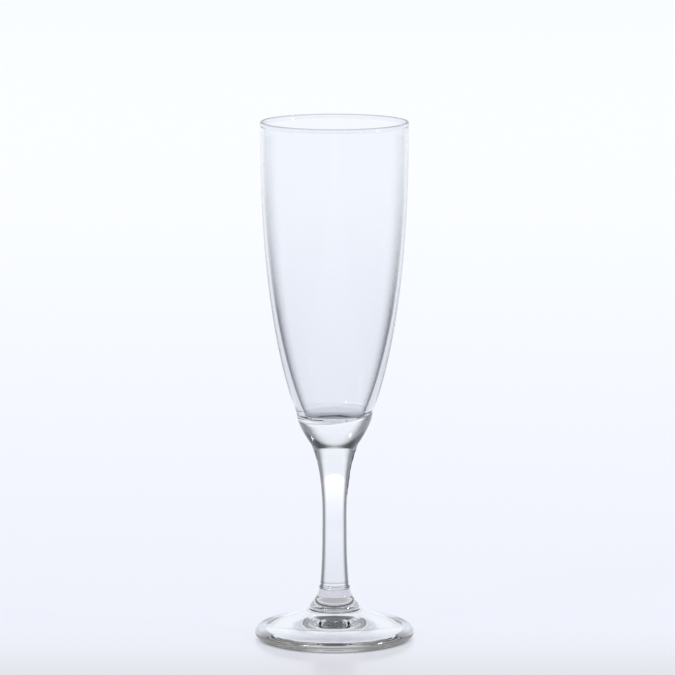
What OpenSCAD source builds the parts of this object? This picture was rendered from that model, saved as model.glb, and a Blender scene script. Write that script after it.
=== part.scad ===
// Champagne flute, three pieces of clear glass fused hot into one rigid stem glass.
// bowl: blown cup with a thin fire-polished rim, a wall that thickens downwards and a thick rounded bottom
// stem: solid pressed shank whose flared head is welded on round the bottom of the bowl
// foot: pressed disc with a conical neck, a full-round edge and a hollowed underside, on a flat seat ring
// Frame: +Z up, origin on the axis in the plane the foot rests on. Millimetres throughout.

/* [Heights] */
// Height of the foot, from the table to the weld on top of its neck
foot_h = 18; // [15:0.5:22]
// Length of the stem, from the foot weld to the middle of the bowl weld
stem_h = 64.5; // [50:0.5:85]
// Height of the bowl, from the middle of the bowl weld to the rim
bowl_h = 107.5; // [95:0.5:125]

/* [Bowl] */
// Outside diameter of the straight upper part of the bowl
bowl_d = 53.6; // [48:0.2:60]
// Outside diameter at the weld under the bowl
weld_d = 27.6; // [25:0.2:30]
// Glass thickness just under the rim
rim_wall = 0.9; // [0.8:0.05:1.6]
// Glass thickness, measured level, where the wall meets the floor
base_wall = 2.65; // [2.2:0.05:3.4]
// How far down the bowl its side stays upright, as a share of the bowl height
side_drop = 0.56; // [0.45:0.01:0.62]
// How full the bowl is low down: radius of its lower control point, as a share of the upper radius
low_fullness = 0.7; // [0.62:0.01:0.76]
// Height of the cavity floor above the middle of the bowl weld, negative when it dips below
floor_lift = -1.25; // [-1.5:0.05:0.5]
// Height of the low rise in the middle of the cavity floor
floor_crown = 0.3; // [0:0.05:0.5]
// Extra outside radius of the rounded bead along the rim
rim_bead = 0.12; // [0:0.02:0.2]

/* [Bowl weld] */
// Depth of the rounded bottom of the bowl that sits in the head of the stem
weld_sag = 6; // [5:0.1:6.5]
// Angle by which the weld leans away from level
weld_lean = 6; // [0:0.5:6.5]
// Compass direction of the low side of the weld, in degrees anticlockwise from +X
weld_lean_dir = 210; // [0:5:355]
// Depth of the fine groove that marks the weld on the outside
groove_depth = 0.28; // [0.15:0.01:0.4]

/* [Stem] */
// Diameter of the stem where it is thinnest
waist_d = 8.9; // [8:0.1:10.2]
// Height of the thinnest place, as a share of the stem length
waist_at = 0.33; // [0.3:0.01:0.42]
// Diameter of the stem just above the collar at its lower end
stem_end_d = 10.4; // [10:0.1:10.8]
// How far the rounded collar at the lower end stands out of the stem
collar_proud = 0.45; // [0.2:0.05:0.6]
// How far the mould seam stands out of one side of the stem
seam_proud = 0.35; // [0.2:0.05:0.5]
// Width of the mould seam, as an angle round the stem
seam_angle = 5; // [3:0.5:8]
// Compass direction of the mould seam, in degrees anticlockwise from +X
seam_dir = -12; // [-180:1:180]

/* [Foot] */
// Outside diameter of the foot
foot_d = 58.4; // [54:0.2:66]
// Diameter of the neck of the foot at the weld
neck_d = 11.2; // [11:0.1:12]
// Thickness of the foot where its rounded edge begins
edge_t = 3.8; // [3:0.1:4.2]
// Height of the hollow under the middle of the foot
hollow_h = 5; // [3:0.1:6.5]
// How the hollow is shaped: 1 is a cone, 2 is a round dome
hollow_round = 1.45; // [1.2:0.05:2.4]
// Width of the flat ring that the foot rests on
seat_w = 2.4; // [1.6:0.1:4]

/* [Hidden] */
weld_z = foot_h + stem_h;
rim_z = weld_z + bowl_h;
bowl_r = bowl_d / 2;
weld_r = weld_d / 2;
foot_r = foot_d / 2;
// Outside of the bowl: straight shoulder, then one long curve down to a short upright band at the weld
straight_z = weld_z + 0.935 * bowl_h;
band_h = 1.5;
band_taper = 0.2;
// Height of the first control point of the side, as a share of its drop
side_hold = 0.93;
// Head of the stem: how far down it rounds in, and its radius there
head_drop = 10.6;
head_r = 8.75;
waist_z = foot_h + waist_at * stem_h;
end_z = foot_h + 1;
// Rounded collar where the stem was pressed on to the foot
collar_r = 0.42;
// The rounded bottom of the bowl is part of a ball
dome_r = (weld_r * weld_r + weld_sag * weld_sag) / (2 * weld_sag);
// Cavity floor
floor_z = weld_z + floor_lift;
floor_edge_z = floor_z + 1.95;
// How fast the wall thickens downwards: the power of the depth it grows with
wall_growth = 2.5;
// Ring groove along the weld
groove_tube = 0.5;
// Mould seam, from the top of the head down to where it was fire-polished away
seam_top_z = weld_z - head_drop;
seam_foot_z = foot_h + 0.54 * stem_h;
// Foot: the neck flares into the disc here
flare_r = 10.6;
flare_z = 0.55 * foot_h;
// Top of the rounded edge, its widest height, and the outside of the seat ring
edge_x = foot_r - 1.9;
edge_mid = 0.38 * edge_t;
seat_out_r = foot_r - 2.2;
hollow_r = seat_out_r - seat_w;
// Number of straight steps in a long curve, in a short one and round a circle
steps = 22;
short_steps = 8;
$fn = 96;

// Clear glass, a trace of cool grey
glass = [0.86, 0.90, 0.94, 0.38];

// Point at share t of a smooth curve from a to d that heads for b and comes in from c
function bend(a, b, c, d, t) =
    pow(1 - t, 3) * a + 3 * pow(1 - t, 2) * t * b + 3 * (1 - t) * t * t * c + pow(t, 3) * d;

// The same curve as a list of points; the last point is left to the next curve
function curve(a, b, c, d, n) = [for (i = [0 : n - 1]) bend(a, b, c, d, i / n)];

// Quarter or half round between two angles about a centre
function round_points(centre, r, from, to, n) =
    [for (i = [0 : n]) centre + r * [cos(from + (to - from) * i / n), sin(from + (to - from) * i / n)]];

// Long outside curve of the bowl, from the straight shoulder down to the band at the weld
bowl_side = curve(
    [bowl_r, straight_z],
    [bowl_r, straight_z - side_drop * bowl_h * side_hold],
    [low_fullness * bowl_r, weld_z + 0.122 * bowl_h],
    [weld_r + band_taper, weld_z + band_h],
    steps
);

// Level thickness of the wall at height z, thin at the rim and growing ever faster with the depth
function wall(z) =
    rim_wall + (base_wall - rim_wall) * pow(min(1, (straight_z - z) / (straight_z - floor_edge_z)), wall_growth);

// Outside of bowl and stem in one outline, from the rim down to the end of the stem
function head_curve() = concat(
    curve(
        [weld_r, weld_z],
        [weld_r - 0.7, weld_z - 4.5],
        [head_r + 0.6, weld_z - head_drop + 0.8],
        [head_r, weld_z - head_drop],
        short_steps + 2
    ),
    curve(
        [head_r, weld_z - head_drop],
        [head_r - 5.1, weld_z - head_drop - 10.4],
        [waist_d / 2, waist_z + 0.06 * stem_h],
        [waist_d / 2, waist_z],
        steps - 6
    ),
    curve(
        [waist_d / 2, waist_z],
        [waist_d / 2, waist_z - 0.16 * stem_h],
        [stem_end_d / 2 - 0.35, end_z + 5],
        [stem_end_d / 2, end_z],
        short_steps
    ),
    [[stem_end_d / 2, end_z]],
    round_points([stem_end_d / 2 + collar_proud - collar_r, foot_h + collar_r], collar_r, 60, -90, short_steps)
);

module blank() {
    rotate_extrude()
        polygon(concat([[0, rim_z + 1], [bowl_r, rim_z + 1]], bowl_side, head_curve(), [[0, foot_h]]));
}

// Everything on the bowl's side of the weld: above a leaning plane, and in the ball that sags below it
module above_weld() {
    translate([0, 0, weld_z])
        rotate([0, 0, weld_lean_dir])
        rotate([0, weld_lean, 0]) {
            translate([0, 0, dome_r - weld_sag])
                sphere(r = dome_r);
            cylinder(r = bowl_d, h = bowl_h + weld_r);
        }
}

// Fine ring groove that follows the leaning edge of the weld
module weld_groove() {
    lean_shift = band_taper / 2;
    translate([0, 0, weld_z + 0.2])
        rotate([0, 0, weld_lean_dir])
        rotate([0, weld_lean, 0])
        translate([-lean_shift, 0, 0])
        rotate_extrude()
        translate([weld_r + groove_tube - groove_depth, 0])
        circle(r = groove_tube, $fn = 24);
}

// Hollow of the cup, open upwards
module cavity() {
    inner_side = [for (p = bowl_side) if (p[1] > floor_edge_z) [p[0] - wall(p[1]), p[1]]];
    floor_r = weld_r + band_taper / 2 - base_wall;
    dish_r = 0.6 * floor_r;
    crown_z = floor_z + floor_crown;
    rotate_extrude()
        polygon(concat(
            [[0, rim_z + 1], [bowl_r - rim_wall, rim_z + 1]],
            inner_side,
            curve([floor_r, floor_edge_z], [floor_r - 0.9, floor_z + 0.9],
                [floor_r - 2.2, floor_z + 0.2], [dish_r, floor_z], short_steps + 4),
            curve([dish_r, floor_z], [0.8 * dish_r, floor_z - 0.1],
                [0.4 * dish_r, crown_z], [0, crown_z], short_steps),
            [[0, crown_z]]
        ));
}

// Full-round bead that finishes the rim
module rim() {
    mid_r = bowl_r - rim_wall / 2;
    half = rim_wall / 2 + rim_bead;
    rotate_extrude()
        intersection() {
            translate([mid_r, rim_z - half])
                circle(r = half, $fn = 24);
            translate([mid_r - half, rim_z - 2 * half])
                square([2 * half, 2 * half]);
        }
}

module bowl() {
    lip_z = rim_z - rim_wall / 2 - rim_bead;
    color(glass) {
        difference() {
            intersection() {
                blank();
                above_weld();
                translate([0, 0, weld_z - weld_sag - 3])
                    cylinder(r = bowl_r + 1, h = lip_z - weld_z + weld_sag + 3);
            }
            cavity();
            weld_groove();
        }
        rim();
    }
}

// Thin fin left by the joint of the mould, following the outline of the stem
module mould_seam() {
    intersection() {
        rotate([0, 0, seam_dir - seam_angle / 2])
            rotate_extrude(angle = seam_angle)
            polygon(concat(
                [for (p = head_curve()) [p[0] + seam_proud, p[1]]],
                [[1, foot_h], [1, weld_z]]
            ));
        translate([0, 0, seam_foot_z])
            cylinder(r = bowl_r, h = seam_top_z - seam_foot_z);
    }
}

module stem() {
    color(glass) {
        difference() {
            intersection() {
                blank();
                translate([0, 0, foot_h - 1])
                    cylinder(r = bowl_r, h = stem_h + weld_sag);
            }
            above_weld();
            weld_groove();
        }
        mould_seam();
    }
}

module foot() {
    // Neck, web of the disc, rounded edge, flat seat ring, hollow underside
    neck_r = neck_d / 2;
    profile = concat(
        [[0, foot_h], [neck_r - 0.25, foot_h]],
        curve([neck_r, foot_h - 0.2], [neck_r + 1, foot_h - 3.4],
            [flare_r - 2, flare_z + 1.7], [flare_r, flare_z], short_steps + 2),
        curve([flare_r, flare_z], [flare_r + 2, flare_z - 1.7],
            [0.685 * foot_r, edge_t + 1.6], [edge_x, edge_t], steps - 8),
        curve([edge_x, edge_t], [edge_x + 1, edge_t - 0.35],
            [foot_r, edge_t - 1.1], [foot_r, edge_mid], short_steps),
        curve([foot_r, edge_mid], [foot_r, 0.38 * edge_mid],
            [foot_r - 0.9, 0], [seat_out_r, 0], short_steps),
        [[seat_out_r, 0], [hollow_r, 0]],
        [for (i = [1 : short_steps * 2])
            let (r = hollow_r * (1 - i / (short_steps * 2)))
            [r, hollow_h * (1 - pow(r / hollow_r, hollow_round))]]
    );
    color(glass)
        rotate_extrude()
        polygon(profile);
}

bowl();
stem();
foot();
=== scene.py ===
import math

import bmesh
import bpy
import numpy as np
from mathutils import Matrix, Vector


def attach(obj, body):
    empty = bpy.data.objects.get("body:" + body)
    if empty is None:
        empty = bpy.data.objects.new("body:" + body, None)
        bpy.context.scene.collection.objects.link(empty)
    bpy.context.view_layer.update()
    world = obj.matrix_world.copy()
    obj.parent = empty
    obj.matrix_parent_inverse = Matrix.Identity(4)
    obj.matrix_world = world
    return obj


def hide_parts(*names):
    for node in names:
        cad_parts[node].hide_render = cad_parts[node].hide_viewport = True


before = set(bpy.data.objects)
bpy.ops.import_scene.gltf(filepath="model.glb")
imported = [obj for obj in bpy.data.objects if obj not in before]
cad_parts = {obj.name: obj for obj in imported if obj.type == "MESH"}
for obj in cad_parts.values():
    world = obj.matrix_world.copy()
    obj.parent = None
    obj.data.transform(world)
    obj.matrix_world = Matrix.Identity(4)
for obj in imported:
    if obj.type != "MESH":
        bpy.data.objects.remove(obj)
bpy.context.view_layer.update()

# ---------------------------------------------------------------- sizes, in millimetres
MM = 0.001
FOOT_H = 18.0
WELD_Z = 82.5
RIM_Z = 190.0

# Bowl: outside, wall and cavity floor
BOWL_R = 26.8
WELD_R = 13.8
STRAIGHT_Z = 183.0
SIDE_HOLD_Z = 127.02
LOW_FULLNESS = 0.7
LOW_Z = 95.6
BAND_H = 1.5
BAND_TAPER = 0.2
RIM_WALL = 0.9
BASE_WALL = 2.65
WALL_GROWTH = 2.5
RIM_BEAD = 0.12
FLOOR_Z = 81.25
FLOOR_EDGE_Z = 83.2
FLOOR_CROWN = 0.3
DISH_SHARE = 0.6

# Weld between bowl and stem: a shallow dome on a leaning plane
WELD_SAG = 6.0
WELD_DROOP = 0.3
DOME_R = (WELD_R**2 + WELD_SAG**2) / (2 * WELD_SAG)
LEAN = math.radians(6.0)
LEAN_DIR = math.radians(210.0)
GROOVE_DEPTH = 0.28
GROOVE_HALF = 0.42

# Stem: head, waist, lower end with its collar, and mould seam
HEAD_Z = 71.9
HEAD_R = 8.75
WAIST_R = 4.45
WAIST_Z = 39.3
STEM_END_R = 5.2
STEM_END_Z = FOOT_H + 1.0
COLLAR_R = 0.42
SEAM_DIR = math.radians(-12.0)
SEAM_FOOT_Z = 52.8
SEAM_PROUD = 0.34
SEAM_HALF = 0.3

# Foot: neck, disc, rounded edge, seat ring and hollow underside
FOOT_R = 29.2
FLARE_R = 10.6
FLARE_Z = 9.9
NECK_RINGS = (6.45, 9.1)
EDGE_X = FOOT_R - 1.9
EDGE_T = 3.8
EDGE_MID = 1.45
SEAT_R = 27.0
SEAT_W = 2.4
HOLLOW_R = SEAT_R - SEAT_W
HOLLOW_H = 5.0
HOLLOW_ROUND = 1.45

# Material slots of a piece
OUTSIDE, WELD, INSIDE = 0, 1, 2


def bend(a, b, c, d, t):
    """Points at shares t of a smooth curve from a to d that heads for b and comes in from c."""
    t = np.asarray(t, float)[:, None]
    a, b, c, d = (np.array(p, float) for p in (a, b, c, d))
    return (1 - t) ** 3 * a + 3 * (1 - t) ** 2 * t * b + 3 * (1 - t) * t * t * c + t**3 * d


def run(*curves, n=400):
    """Several bends one after another as one list of (r, z) points."""
    t = np.linspace(0, 1, n)
    return np.vstack([bend(*c, t) for c in curves])


def arc(centre, radius, start, end, n):
    """Points round a centre between two angles in degrees."""
    a = np.radians(np.linspace(start, end, n))
    return np.c_[centre[0] + radius * np.cos(a), centre[1] + radius * np.sin(a)]


# ---------------------------------------------------------------- outline of bowl and stem
SIDE = run(
    (
        (BOWL_R, STRAIGHT_Z),
        (BOWL_R, SIDE_HOLD_Z),
        (LOW_FULLNESS * BOWL_R, LOW_Z),
        (WELD_R + BAND_TAPER, WELD_Z + BAND_H),
    )
)
HEAD = run(
    ((WELD_R, WELD_Z), (WELD_R - 0.7, WELD_Z - 4.5), (HEAD_R + 0.6, HEAD_Z + 0.8), (HEAD_R, HEAD_Z)),
    ((HEAD_R, HEAD_Z), (HEAD_R - 5.1, HEAD_Z - 10.4), (WAIST_R, WAIST_Z + 3.9), (WAIST_R, WAIST_Z)),
    (
        (WAIST_R, WAIST_Z),
        (WAIST_R, WAIST_Z - 10.3),
        (STEM_END_R - 0.35, STEM_END_Z + 5.0),
        (STEM_END_R, STEM_END_Z),
    ),
)
OUTLINE = np.vstack([[(BOWL_R, RIM_Z)], SIDE, HEAD, [(STEM_END_R, FOOT_H)]])[::-1]


def outline(z):
    """Outside radius of bowl and stem at a height."""
    return np.interp(z, OUTLINE[:, 1], OUTLINE[:, 0])


def wall(z):
    """Level thickness of the bowl's wall, growing ever faster with the depth."""
    share = np.clip((STRAIGHT_Z - z) / (STRAIGHT_Z - FLOOR_EDGE_Z), 0, 1)
    return RIM_WALL + (BASE_WALL - RIM_WALL) * share**WALL_GROWTH


# Columns round the axis, closer together where the mould seam runs
AROUND = 160
SEAM_REACH = 7
SEAM_COLUMNS = SEAM_DIR + np.radians(np.linspace(-SEAM_REACH, SEAM_REACH, 29))
plain = np.arange(AROUND) * 2 * math.pi / AROUND
gap = np.abs((plain - SEAM_DIR + math.pi) % (2 * math.pi) - math.pi)
THETA = np.sort(
    np.concatenate([plain[gap > math.radians(SEAM_REACH + 1)], SEAM_COLUMNS % (2 * math.pi)])
)
COS, SIN = np.cos(THETA), np.sin(THETA)

# The groove of the weld is deepest in front, where y is negative, and shallow behind
GROOVE_ROUND = GROOVE_DEPTH * (0.6 - 0.4 * SIN)


# ---------------------------------------------------------------- the weld under the bowl
def dome_z(x, y):
    """Height of the weld surface over a place: a shallow dome sagging from a leaning plane."""
    lean = -math.tan(LEAN) * (x * math.cos(LEAN_DIR) + y * math.sin(LEAN_DIR))
    out = np.minimum(np.hypot(x, y), WELD_R)
    droop = WELD_DROOP * (np.minimum(y, 0) / WELD_R) ** 2
    return WELD_Z + lean - droop - (np.sqrt(DOME_R**2 - out**2) - (DOME_R - WELD_SAG))


def weld_edge():
    """Height of the weld on the outside, column by column."""
    z = np.full(len(THETA), WELD_Z)
    for _ in range(40):
        r = outline(z)
        z = 0.5 * z + 0.5 * dome_z(r * COS, r * SIN)
    return z


EDGE_Z = weld_edge()


def near_weld(rows, reach=14.0):
    """Row heights as a grid: rows by the weld follow its lean, rows further off are level."""
    rows = np.asarray(rows, float)[:, None]
    hold = np.clip(1 - np.abs(rows - WELD_Z) / reach, 0, 1) ** 2
    return rows + (EDGE_Z[None, :] - WELD_Z) * hold


def groove(z):
    """Depth of the groove along the weld, at a grid of heights."""
    off = (z - EDGE_Z[None, :]) / GROOVE_HALF
    return GROOVE_ROUND * np.exp(-(off**2))


# ---------------------------------------------------------------- mesh building
def grid(r, z):
    """Radius and height, both rows by columns, as points."""
    r, z = np.broadcast_arrays(r, z)
    return np.stack([r * COS, r * SIN, z], axis=-1)


def level(profile):
    """A profile of (r, z) points as level rows."""
    profile = np.asarray(profile, float)
    ones = np.ones(len(THETA))
    return grid(profile[:, :1] * ones, profile[:, 1:] * ones)


def after(strip, rows):
    """Rows that go on from the last row of a strip."""
    return np.concatenate([strip[-1:], rows])


def build(name, start_z, strips, end_z, materials):
    """Closed mesh from strips of rows. Each strip is (points, slot) and starts with the row that
    ends the strip before it. The first and last rows close on points on the axis."""
    verts, faces, slots = [], [], []
    n = len(THETA)

    def add_row(row):
        start = len(verts)
        verts.extend(map(tuple, row))
        return start

    verts.append((0.0, 0.0, float(start_z)))
    last = add_row(strips[0][0][0])
    for j in range(n):
        faces.append((0, last + j, last + (j + 1) % n))
        slots.append(strips[0][1])
    for points, slot in strips:
        for row in points[1:]:
            new = add_row(row)
            for j in range(n):
                k = (j + 1) % n
                faces.append((last + j, new + j, new + k, last + k))
                slots.append(slot)
            last = new
    end = len(verts)
    verts.append((0.0, 0.0, float(end_z)))
    for j in range(n):
        faces.append((last + (j + 1) % n, last + j, end))
        slots.append(strips[-1][1])
    mesh = bpy.data.meshes.new(name)
    mesh.from_pydata([tuple(c * MM for c in v) for v in verts], [], faces)
    mesh.polygons.foreach_set("use_smooth", [True] * len(faces))
    for m in materials:
        mesh.materials.append(m)
    mesh.polygons.foreach_set("material_index", slots)
    mesh.update()
    mesh.validate()
    obj = bpy.data.objects.new(name, mesh)
    bpy.context.scene.collection.objects.link(obj)
    return obj


def face_out(obj):
    """Turns the normals outwards."""
    bm = bmesh.new()
    bm.from_mesh(obj.data)
    bmesh.ops.recalc_face_normals(bm, faces=bm.faces)
    if bm.calc_volume(signed=True) < 0:
        bmesh.ops.reverse_faces(bm, faces=bm.faces)
    bm.to_mesh(obj.data)
    bm.free()
    obj.data.update()


def sharp_between_slots(obj):
    """Creases the shading where a weld face meets the outside, so the outside stays smooth."""
    mesh = obj.data
    seen = {}
    for p in mesh.polygons:
        for k in p.edge_keys:
            seen.setdefault(k, set()).add(p.material_index)
    sides = [seen.get(tuple(sorted(e.vertices)), ()) for e in mesh.edges]
    attr = mesh.attributes.new("sharp_edge", "BOOLEAN", "EDGE")
    attr.data.foreach_set("value", [len(k) > 1 and WELD in k for k in sides])


# ---------------------------------------------------------------- node helpers
def feed(t, socket, value):
    """Links a socket to another one, or sets it to a plain value."""
    if isinstance(value, bpy.types.NodeSocket):
        t.links.new(value, socket)
    else:
        socket.default_value = value


def maths(t, operation, *values):
    n = t.nodes.new("ShaderNodeMath")
    n.operation = operation
    for socket, value in zip(n.inputs, values):
        feed(t, socket, value)
    return n.outputs[0]


def map_range(t, value, limits, levels=(0.0, 1.0), smooth=True):
    """Takes a value from its limits to two levels, and holds it there beyond them."""
    n = t.nodes.new("ShaderNodeMapRange")
    n.interpolation_type = "SMOOTHSTEP" if smooth else "LINEAR"
    ends = zip(("From Min", "From Max", "To Min", "To Max"), (*limits, *levels))
    for name, end in ends:
        feed(t, n.inputs[name], end)
    feed(t, n.inputs["Value"], value)
    return n.outputs[0]


def scaled(t, colour, factor):
    n = t.nodes.new("ShaderNodeVectorMath")
    n.operation = "SCALE"
    feed(t, n.inputs[0], colour)
    feed(t, n.inputs[3], factor)
    return n.outputs[0]


def mixed(t, share, first, second, blend="MIX"):
    n = t.nodes.new("ShaderNodeMix")
    n.data_type = "RGBA"
    n.blend_type = blend
    feed(t, n.inputs[0], share)
    feed(t, n.inputs[6], first)
    feed(t, n.inputs[7], second)
    return n.outputs[2]


def parts_of(t, vector):
    """The x, y and z of a vector."""
    n = t.nodes.new("ShaderNodeSeparateXYZ")
    t.links.new(vector, n.inputs[0])
    return n.outputs[0], n.outputs[1], n.outputs[2]


def nodes_of(name):
    m = bpy.data.materials.new(name)
    m.use_nodes = True
    t = m.node_tree
    t.nodes.clear()
    out = t.nodes.new("ShaderNodeOutputMaterial")
    shader = t.nodes.new("ShaderNodeBsdfPrincipled")
    t.links.new(shader.outputs[0], out.inputs[0])
    return m, t, shader


# ---------------------------------------------------------------- glass
def glass(name, tint, deep, cord_scale, cord_strength, edge, thick, thin):
    """Clear soda-lime glass: faint cords in the melt, a trace of handling haze, and painted shade: a
    darker transmission colour where a ray meets the surface at a grazing angle, standing in for the
    dark edges that the surroundings give. Edge is where that painted shade starts and where it is full;
    thick and thin are (height in metres, level) of the full painted shade at the thick and the thin end of
    the glass."""
    m, t, s = nodes_of(name)
    s.inputs["Transmission Weight"].default_value = 1.0
    s.inputs["IOR"].default_value = 1.51
    place = t.nodes.new("ShaderNodeTexCoord").outputs["Object"]
    stretch = t.nodes.new("ShaderNodeMapping")
    stretch.inputs["Scale"].default_value = cord_scale
    t.links.new(place, stretch.inputs["Vector"])
    noise = t.nodes.new("ShaderNodeTexNoise")
    noise.inputs["Scale"].default_value = 1.0
    noise.inputs["Detail"].default_value = 2.0
    t.links.new(stretch.outputs[0], noise.inputs["Vector"])
    cords = noise.outputs["Fac"]
    # Painted shade: the transmission colour darkens where a ray meets the surface at a grazing angle.
    graze = t.nodes.new("ShaderNodeLayerWeight")
    graze.inputs["Blend"].default_value = 0.5
    height = parts_of(t, place)[2]
    full = map_range(t, height, (thick[0], thin[0]), (thick[1], thin[1]), smooth=False)
    shade = map_range(t, graze.outputs["Facing"], edge, (1.0, full))
    clear = mixed(t, cords, (*tint, 1), (*deep, 1))
    t.links.new(scaled(t, clear, shade), s.inputs["Base Color"])
    haze = map_range(t, cords, (0.45, 0.75), (0.0, 0.02), smooth=False)
    t.links.new(haze, s.inputs["Roughness"])
    bump = t.nodes.new("ShaderNodeBump")
    bump.inputs["Strength"].default_value = cord_strength
    bump.inputs["Distance"].default_value = 0.0002
    t.links.new(cords, bump.inputs["Height"])
    t.links.new(bump.outputs[0], s.inputs["Normal"])
    return m


def rim_painted_shade(material, near_r, far_r, tone):
    """Painted shade: darkens the foot's colour towards its rounded edge, between radii near_r and far_r,
    standing in for the dark surroundings seen through the edge.
    """
    t = material.node_tree
    base = t.nodes["Principled BSDF"].inputs["Base Color"]
    clear = base.links[0].from_socket
    flat = t.nodes.new("ShaderNodeVectorMath")
    flat.operation = "MULTIPLY"
    flat.inputs[1].default_value = (1, 1, 0)
    t.links.new(t.nodes.new("ShaderNodeTexCoord").outputs["Object"], flat.inputs[0])
    out = t.nodes.new("ShaderNodeVectorMath")
    out.operation = "LENGTH"
    t.links.new(flat.outputs[0], out.inputs[0])
    share = map_range(t, out.outputs["Value"], (near_r * MM, far_r * MM))
    t.links.new(mixed(t, share, clear, (*tone, 1), "MULTIPLY"), base)


def weld_face(name):
    """Inner face of a weld: glass runs on through it, so it neither bends nor tints light."""
    m, _, s = nodes_of(name)
    s.inputs["Alpha"].default_value = 0.0
    s.inputs["IOR"].default_value = 1.0
    s.inputs["Base Color"].default_value = (1, 1, 1, 1)
    return m


CLEAR = (0.975, 0.985, 1.0)
BOWL_MELT = {"tint": CLEAR, "deep": (0.965, 0.98, 0.995), "cord_scale": (30, 30, 9), "cord_strength": 0.05}
# edge, thick and thin set the painted shade at grazing angles; inside the bowl it reaches black low down.
bowl_glass = glass("bowl_glass", **BOWL_MELT, edge=(0.55, 0.9), thick=(0.12, 0.96), thin=(0.17, 0.72))
bowl_inside = glass("bowl_inside", **BOWL_MELT, edge=(0.38, 0.77), thick=(0.12, 0.0), thin=(0.175, 0.72))
stem_glass = glass(
    "stem_glass",
    tint=CLEAR,
    deep=(0.96, 0.975, 0.985),
    cord_scale=(60, 60, 14),
    cord_strength=0.08,
    edge=(0.22, 0.46),
    thick=(0.02, 0.07),
    thin=(0.08, 0.12),
)
foot_glass = glass(
    "foot_glass",
    tint=(0.975, 0.985, 0.995),
    deep=(0.955, 0.965, 0.965),
    cord_scale=(45, 45, 45),
    cord_strength=0.08,
    edge=(0.7, 1.0),
    thick=(0.0, 0.6),
    thin=(0.018, 0.6),
)
# Painted shade on the rounded edge of the foot.
rim_painted_shade(foot_glass, near_r=27.6, far_r=28.9, tone=(0.5, 0.47, 0.43))
joined = weld_face("weld_face")

# ---------------------------------------------------------------- bowl
# Distances of rows from the weld, close together across its groove, and where even rows begin
NEAR = np.array([0.0, 0.07, 0.14, 0.22, 0.3, 0.4, 0.52, 0.66, 0.85, 1.1, 1.45, 1.9, 2.5])
EVEN = 3.2
cap_r = np.linspace(0.06, 1, 26)[:, None] * (outline(EDGE_Z) - GROOVE_ROUND)[None, :]
cap = grid(cap_r, dome_z(cap_r * COS, cap_r * SIN))
cap_mid = dome_z(0.0, 0.0)


def bowl_outside():
    rows = np.concatenate([WELD_Z + NEAR, np.linspace(WELD_Z + EVEN, STRAIGHT_Z, 110)])
    z = near_weld(rows)
    return grid(outline(z) - groove(z), z)


def bowl_rim():
    """Straight shoulder outside, full-round bead, and the same shoulder inside."""
    half = RIM_WALL / 2 + RIM_BEAD
    middle_z = RIM_Z - half
    inside_r = BOWL_R - RIM_WALL
    shoulder = np.linspace(STRAIGHT_Z + 1, RIM_Z - 2.2, 5)
    swell = (RIM_Z - 2.0, RIM_Z - 1.3, RIM_Z - 1.1, middle_z)
    out_r = (BOWL_R, BOWL_R, BOWL_R + RIM_BEAD, BOWL_R + RIM_BEAD)
    in_r = (inside_r, inside_r, inside_r - RIM_BEAD, inside_r - RIM_BEAD)
    return np.vstack(
        [
            [(BOWL_R, z) for z in shoulder],
            run(tuple(zip(out_r, swell)), n=7),
            arc((BOWL_R - RIM_WALL / 2, middle_z), half, 8, 172, 22),
            run(tuple(zip(in_r, swell))[::-1], n=7),
            [(inside_r, z) for z in shoulder[::-1]],
        ]
    )


def bowl_cavity():
    """Inner side down to the floor's edge."""
    z = np.linspace(STRAIGHT_Z, FLOOR_EDGE_Z + 0.4, 110)
    return np.c_[outline(z) - wall(z), z]


def bowl_floor():
    """Rounded corner, small dish and the low rise in its middle."""
    corner_r = outline(np.array([FLOOR_EDGE_Z]))[0] - BASE_WALL
    dish_r = DISH_SHARE * corner_r
    crown_z = FLOOR_Z + FLOOR_CROWN
    corner = run(
        (
            (corner_r, FLOOR_EDGE_Z),
            (corner_r - 0.9, FLOOR_Z + 0.9),
            (corner_r - 2.2, FLOOR_Z + 0.2),
            (dish_r, FLOOR_Z),
        ),
        n=30,
    )
    rise = run(
        ((dish_r, FLOOR_Z), (0.8 * dish_r, FLOOR_Z - 0.1), (0.4 * dish_r, crown_z), (0.3, crown_z)),
        n=20,
    )
    return np.vstack([corner, rise[1:]])


side = bowl_outside()
cap[-1] = side[0]
rim, inner, floor = level(bowl_rim()), level(bowl_cavity()), level(bowl_floor())
bowl = build(
    "bowl_blown",
    cap_mid,
    [
        (cap, WELD),
        (side, OUTSIDE),
        (after(side, rim), OUTSIDE),
        (after(rim, inner), INSIDE),
        (after(inner, floor), INSIDE),
    ],
    FLOOR_Z + FLOOR_CROWN,
    [bowl_glass, joined, bowl_inside],
)


# ---------------------------------------------------------------- stem
def seam_fin(z, r):
    """How far the mould seam stands out: a thin uneven fin, fire-polished away at both ends."""
    turn = (THETA - SEAM_DIR + math.pi) % (2 * math.pi) - math.pi
    off = turn[None, :] * r / SEAM_HALF
    fade = np.clip((z - SEAM_FOOT_Z) / 0.5, 0, 1) * np.clip((HEAD_Z - z) / 2.5, 0, 1)
    uneven = 0.7 + 0.3 * np.sin(z * 1.3) * np.sin(z * 0.53 + 1.0)
    return SEAM_PROUD * np.exp(-(off**2)) * fade * uneven


def stem_outside():
    rows = np.concatenate([WELD_Z - NEAR, np.linspace(WELD_Z - EVEN, FOOT_H + 2.2, 120)])
    z = near_weld(rows)
    r = outline(z) - groove(z)
    return grid(r + seam_fin(z, r), z)


def stem_collar():
    """The end of the stem swelling into its collar, down to the weld on the foot."""
    swell = run(
        (
            (STEM_END_R - 0.08, FOOT_H + 1.8),
            (STEM_END_R - 0.06, FOOT_H + 1.3),
            (STEM_END_R, FOOT_H + 0.95),
            (STEM_END_R + 0.2, FOOT_H + 0.85),
        ),
        n=6,
    )
    points = np.vstack([swell, arc((STEM_END_R + 0.05, FOOT_H + COLLAR_R), COLLAR_R, 62, -75, 12)])
    points[-1][1] = FOOT_H
    return points


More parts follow.
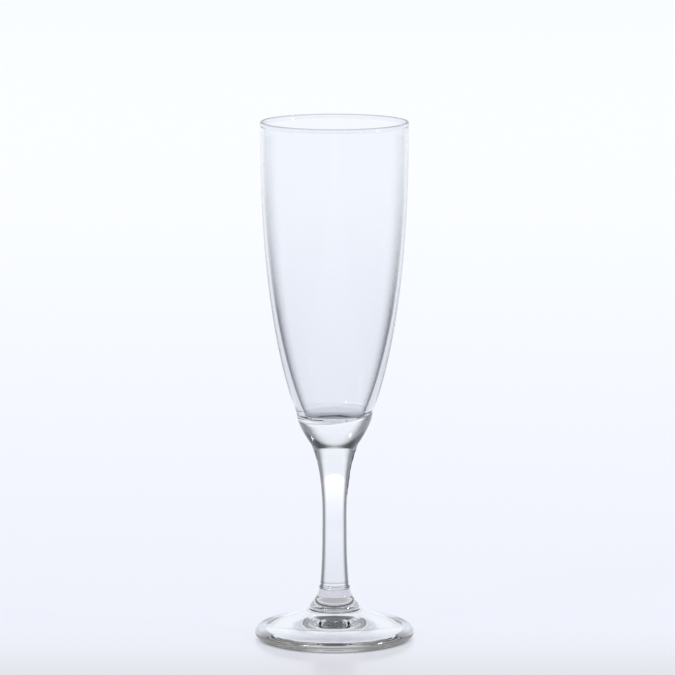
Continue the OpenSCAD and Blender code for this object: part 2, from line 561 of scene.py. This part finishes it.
shank = stem_outside()
collar = stem_collar()
weld_ring = collar[-1][0]
stem_end = np.c_[np.linspace(weld_ring, 0.3, 10)[1:], np.full(9, FOOT_H)]
stem = build(
    "stem_pressed",
    cap_mid,
    [
        (cap, WELD),
        (shank, OUTSIDE),
        (after(shank, level(collar)), OUTSIDE),
        (after(level(collar), level(stem_end)), WELD),
    ],
    FOOT_H,
    [stem_glass, joined],
)


# ---------------------------------------------------------------- foot
def ring_groove(profile, r, depth=0.14, half=0.3):
    """Presses a fine ring into a profile where it passes radius r."""
    off = (profile[:, 0] - r) / half
    dent = depth * np.exp(-(off**2)) * 0.7
    return profile - np.c_[dent, dent]


def foot_outside():
    """Neck, disc, rounded edge and seat ring, from the weld round to the hollow."""
    to_flare = ((5.6, 17.8), (6.6, 14.6), (8.6, 11.6), (FLARE_R, FLARE_Z))
    to_edge = (
        (FLARE_R, FLARE_Z),
        (FLARE_R + 2.0, FLARE_Z - 1.7),
        (20.0, EDGE_T + 1.6),
        (EDGE_X, EDGE_T),
    )
    upper_round = (
        (EDGE_X, EDGE_T),
        (FOOT_R - 0.9, EDGE_T - 0.35),
        (FOOT_R, EDGE_T - 1.1),
        (FOOT_R, EDGE_MID),
    )
    lower_round = ((FOOT_R, EDGE_MID), (FOOT_R, 0.55), (FOOT_R - 0.9, 0.0), (SEAT_R, 0.0))
    points = np.vstack(
        [
            [(weld_ring, FOOT_H)],
            run(to_flare, n=60),
            run(to_edge, n=90)[1:],
            run(upper_round, n=22)[1:],
            run(lower_round, n=22)[1:],
            [(r, 0.0) for r in np.linspace(SEAT_R - 0.3, HOLLOW_R, 6)],
        ]
    )
    for r in NECK_RINGS:
        points = ring_groove(points, r)
    return points


def foot_hollow():
    r = HOLLOW_R * np.linspace(0.99, 0.02, 90)
    return np.c_[r, HOLLOW_H * (1 - (r / HOLLOW_R) ** HOLLOW_ROUND)]


foot_top = np.c_[np.linspace(0.3, weld_ring, 10), np.full(10, FOOT_H)]
skin = level(foot_outside())
foot = build(
    "foot_pressed",
    FOOT_H,
    [
        (level(foot_top), WELD),
        (skin, OUTSIDE),
        (after(skin, level(foot_hollow())), OUTSIDE),
    ],
    HOLLOW_H,
    [foot_glass, joined],
)

for piece, node in ((bowl, "bowl"), (stem, "stem"), (foot, "foot")):
    face_out(piece)
    sharp_between_slots(piece)
    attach(piece, "root")
    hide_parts(node)

# ---------------------------------------------------------------- table
# Painted light of the glowing table by distance in metres behind the flute, brightest close to it
TABLE_PAINTED_LIGHT = (
    (-0.06, (0.66, 0.66, 0.7)),
    (-0.01, (0.76, 0.78, 0.86)),
    (1.2, (0.72, 0.73, 0.76)),
    (5.0, (0.42, 0.44, 0.46)),
    (9.0, (0.27, 0.28, 0.29)),
)
TABLE_R = 9.0
# Levels of painted light off the painted bright strip behind the flute: behind it, and beside or in front
# of it
BEHIND_LEVEL = 0.75
BESIDE_LEVEL = 0.8
# Half width of the strip in metres, and how fast it and its soft edge widen with distance
STRIP_HALF = 0.128
STRIP_SPREAD = 0.1
STRIP_FAR_SPREAD = 0.7
STRIP_SOFT = 0.08
STRIP_SOFT_SPREAD = 0.3
# Contact shade under the edge of the foot: its strength and the radii where it rises and fades
CONTACT = 0.85
CONTACT_RISE = (0.0235, 0.0255)
CONTACT_FADE = (0.0275, 0.0305)


def side_level(t, x, y):
    """Brightness off the strip, from the direction of a place as seen from the flute: painted light on the
    table, and the surround's own light in the world.
    """
    ratio = maths(t, "DIVIDE", y, maths(t, "ABSOLUTE", x))
    return map_range(t, ratio, (0.12, 0.45), (BESIDE_LEVEL, BEHIND_LEVEL))


def table_painted_light(t, y):
    """Painted light of the table by distance, as the colour of its glow."""
    near, far = TABLE_PAINTED_LIGHT[0][0], TABLE_PAINTED_LIGHT[-1][0]
    ramp = t.nodes.new("ShaderNodeValToRGB")
    stops = ramp.color_ramp.elements
    stops[1].position = 1.0
    for i, (distance, tone) in enumerate(TABLE_PAINTED_LIGHT):
        inside = 0 < i < len(TABLE_PAINTED_LIGHT) - 1
        stop = stops.new((distance - near) / (far - near)) if inside else stops[-1 if i else 0]
        stop.color = (*tone, 1)
    t.links.new(map_range(t, y, (near, far), smooth=False), ramp.inputs[0])
    return ramp.outputs[0]


def strip_level(t, x, y):
    """Painted light: 1 on the bright strip behind the flute, and the side level beyond its soft edge."""
    back = maths(t, "MAXIMUM", y, 0.0)
    close = maths(t, "MULTIPLY_ADD", back, STRIP_SPREAD, STRIP_HALF)
    edge = maths(t, "MAXIMUM", close, maths(t, "MULTIPLY", back, STRIP_FAR_SPREAD))
    over = maths(t, "SUBTRACT", maths(t, "ABSOLUTE", x), edge)
    soft = maths(t, "MULTIPLY_ADD", back, STRIP_SOFT_SPREAD, STRIP_SOFT)
    return map_range(t, maths(t, "DIVIDE", over, soft), (0.0, 1.0), (1.0, side_level(t, x, y)))


def contact_level(t, x, y):
    """Painted contact shadow: darker in a ring under the edge of the foot, in front of it and behind it.
    """
    squares = maths(t, "ADD", maths(t, "POWER", x, 2.0), maths(t, "POWER", y, 2.0))
    out = maths(t, "SQRT", squares)
    rise = map_range(t, out, CONTACT_RISE)
    fade = map_range(t, out, CONTACT_FADE, (CONTACT, 0.0))
    sector = maths(t, "ABSOLUTE", maths(t, "DIVIDE", y, maths(t, "MAXIMUM", out, 0.001)))
    front = map_range(t, sector, (0.1, 0.5))
    shade = maths(t, "MULTIPLY", maths(t, "MULTIPLY", rise, fade), front)
    return maths(t, "SUBTRACT", 1.0, shade)


def table_material():
    m, t, s = nodes_of("table")
    x, y, _ = parts_of(t, t.nodes.new("ShaderNodeTexCoord").outputs["Object"])
    # The table glows: its painted light and shade (by distance, strip, sides and contact ring) is its
    # emission colour over a dark grey base colour.
    light = maths(t, "MULTIPLY", strip_level(t, x, y), contact_level(t, x, y))
    t.links.new(scaled(t, table_painted_light(t, y), light), s.inputs["Emission Color"])
    s.inputs["Emission Strength"].default_value = 0.8
    s.inputs["Base Color"].default_value = (0.16, 0.16, 0.17, 1)
    s.inputs["Roughness"].default_value = 0.16
    s.inputs["Specular IOR Level"].default_value = 0.15
    return m


def add_table(sides=96):
    mesh = bpy.data.meshes.new("table")
    turns = [2 * math.pi * i / sides for i in range(sides)]
    ring = [(TABLE_R * math.cos(a), TABLE_R * math.sin(a), 0.0) for a in turns]
    mesh.from_pydata(ring, [], [tuple(range(sides))])
    mesh.materials.append(table_material())
    table = bpy.data.objects.new("table", mesh)
    bpy.context.scene.collection.objects.link(table)


add_table()


# ---------------------------------------------------------------- light
def add_studio():
    """Pale surround: brightest behind the flute, at the side level elsewhere, and dim overhead."""
    world = bpy.data.worlds.new("studio")
    bpy.context.scene.world = world
    world.use_nodes = True
    t = world.node_tree
    t.nodes.clear()
    out = t.nodes.new("ShaderNodeOutputWorld")
    background = t.nodes.new("ShaderNodeBackground")
    t.links.new(background.outputs[0], out.inputs[0])
    x, y, z = parts_of(t, t.nodes.new("ShaderNodeTexCoord").outputs["Generated"])
    flat = t.nodes.new("ShaderNodeCombineXYZ")
    t.links.new(x, flat.inputs[0])
    t.links.new(y, flat.inputs[1])
    unit = t.nodes.new("ShaderNodeVectorMath")
    unit.operation = "NORMALIZE"
    t.links.new(flat.outputs[0], unit.inputs[0])
    across, along, _ = parts_of(t, unit.outputs[0])
    behind = map_range(t, along, (0.6, 0.82), (side_level(t, across, along), 1.0))
    overhead = map_range(t, z, (0.5, 0.66), (1.0, 0.17))
    paint = scaled(t, (0.91, 0.94, 1.0), maths(t, "MULTIPLY", behind, overhead))
    t.links.new(paint, background.inputs[0])


def soft_light(name, azimuth, elevation, size, power, distance=1.2):
    """Square light aimed at the middle of the flute. Azimuth 0 is in front of it, 90 to its right."""
    a, e = math.radians(azimuth), math.radians(elevation)
    way = Vector((math.sin(a) * math.cos(e), -math.cos(a) * math.cos(e), math.sin(e)))
    data = bpy.data.lights.new(name, "AREA")
    data.shape = "RECTANGLE"
    data.size = size
    data.size_y = size
    data.energy = power
    lamp = bpy.data.objects.new(name, data)
    lamp.location = Vector((0, 0, 0.08)) + way * distance
    lamp.rotation_euler = way.to_track_quat("Z", "Y").to_euler()
    lamp.visible_camera = False
    bpy.context.scene.collection.objects.link(lamp)


add_studio()
soft_light("key_left", azimuth=-48, elevation=35, size=0.14, power=1.8)
soft_light("key_right", azimuth=76, elevation=30, size=0.12, power=3)


# ---------------------------------------------------------------- camera
def add_camera():
    camera = bpy.data.cameras.new("camera")
    camera.sensor_width = 36.0
    camera.lens = 222.683
    camera.clip_start = 0.05
    camera.clip_end = 60
    eye = bpy.data.objects.new("camera", camera)
    eye.location = (0.0011, -1.5, 0.352)
    eye.rotation_euler = (math.pi / 2 - math.radians(9.128), 0, 0)
    bpy.context.scene.collection.objects.link(eye)
    bpy.context.scene.camera = eye


add_camera()

look = bpy.context.scene
look.view_settings.view_transform = "Standard"
look.view_settings.look = "None"
look.cycles.max_bounces = 32
look.cycles.transmission_bounces = 32
look.cycles.glossy_bounces = 12
look.cycles.transparent_max_bounces = 48
look.cycles.use_denoising = True
